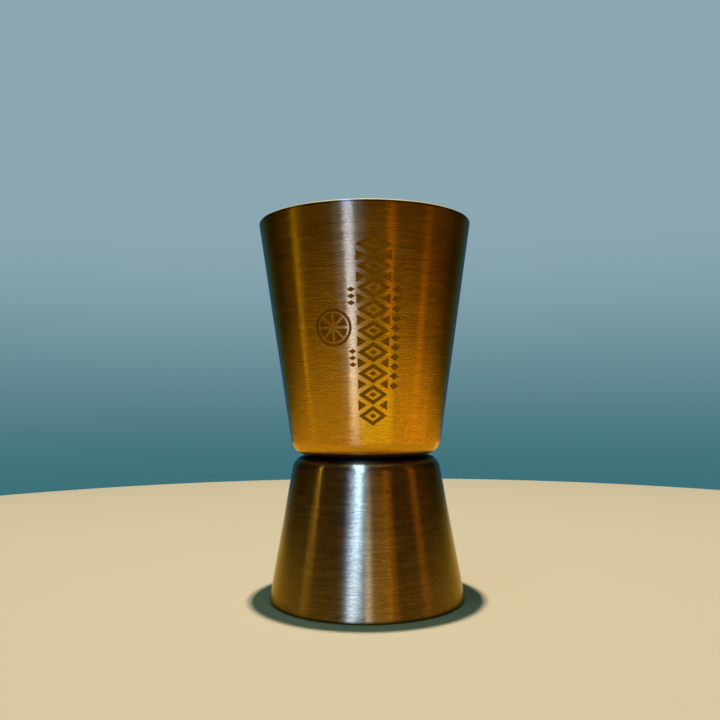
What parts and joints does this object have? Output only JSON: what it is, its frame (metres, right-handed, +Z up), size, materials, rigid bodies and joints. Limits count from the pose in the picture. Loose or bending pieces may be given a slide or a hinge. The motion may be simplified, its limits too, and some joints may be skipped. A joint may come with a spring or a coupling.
{
  "type": "bar jigger",
  "caption": "Hourglass-shaped spirit measure: a large tapered cup joined base to base with a smaller upturned one, in brushed amber-toned metal.",
  "frame": {"origin": "on the jigger's axis, in the plane of the small cup's rim, which it stands on", "axes": "+Z up the jigger's axis, from the small cup's rim to the large cup's rim; -Y towards the face with the etched ornament"},
  "size_m": [0.045, 0.045, 0.0787],
  "materials": {
    "large_cup_metal": "fine brushing round the cup, satin, amber-toned",
    "small_cup_metal": "fine brushing round the cup, satin, dark bronze-toned",
    "weld_metal": "dull fused metal, heat-darkened"
  },
  "bodies": {
    "root": {"upper_cup": "large_cup_metal", "lower_cup": "small_cup_metal", "spot_weld_1": "weld_metal", "spot_weld_2": "weld_metal", "spot_weld_3": "weld_metal"}
  },
  "joints": []
}
